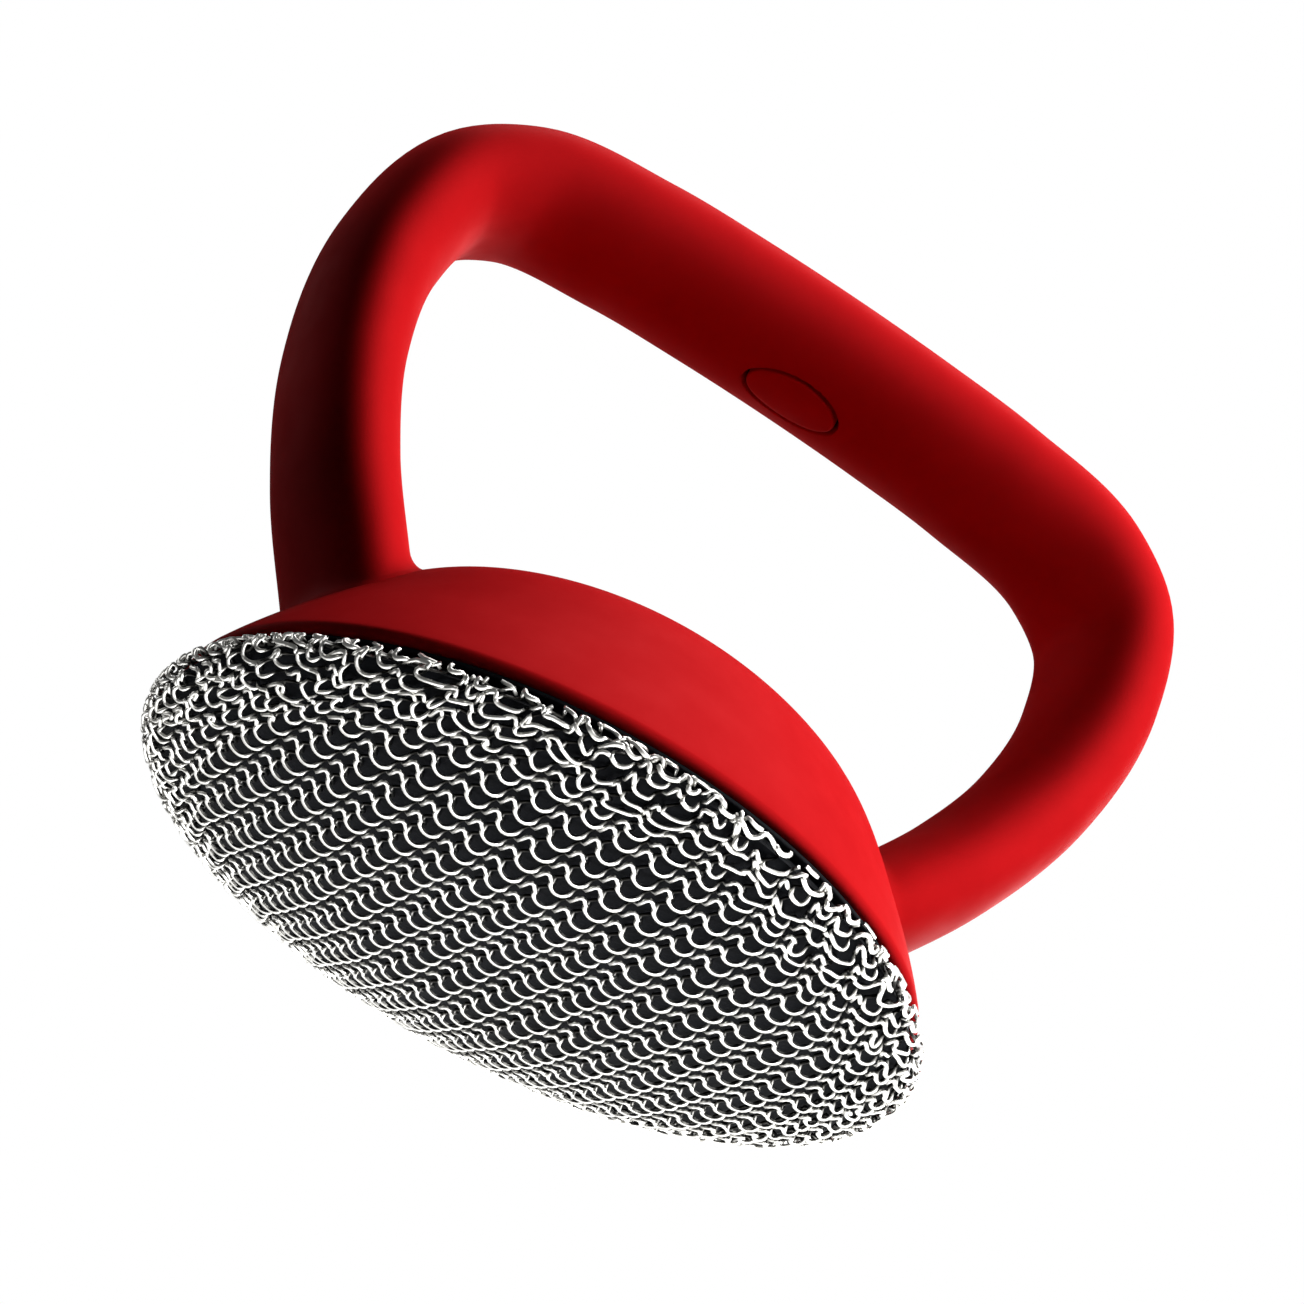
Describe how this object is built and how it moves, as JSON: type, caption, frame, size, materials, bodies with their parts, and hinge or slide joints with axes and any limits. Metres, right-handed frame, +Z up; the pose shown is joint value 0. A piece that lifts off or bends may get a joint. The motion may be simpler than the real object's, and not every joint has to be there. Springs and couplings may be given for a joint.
{
  "type": "steel pot brush",
  "caption": "Round, domed scrubbing head faced with knitted steel wire over a rubber pad, carried by a dome with an upright loop handle.",
  "frame": {"origin": "middle of the crowned scrubbing face, on the surface the brush stands on", "axes": "+Z up from the scrubbing face to the handle, X along the grip, Y across the grip"},
  "size_m": [0.1196, 0.1008, 0.1007],
  "materials": {
    "steel": "bright drawn wire",
    "black_rubber": "matt",
    "black_nylon": "matt",
    "red_shell": "soft-touch satin",
    "red_rubber": "soft-touch matt"
  },
  "bodies": {
    "root": {"knitted_wire_cover": "steel", "cinch_wire": "steel", "scrubbing_pad": "black_rubber", "carrier_plate": "black_nylon", "dome_shell": "red_shell", "handle_core": "black_nylon", "grip_skin": "red_rubber", "oval_inlay": "red_shell", "foot_screw_left_front": "steel", "foot_screw_left_rear": "steel", "foot_screw_right_front": "steel", "foot_screw_right_rear": "steel"}
  },
  "joints": []
}
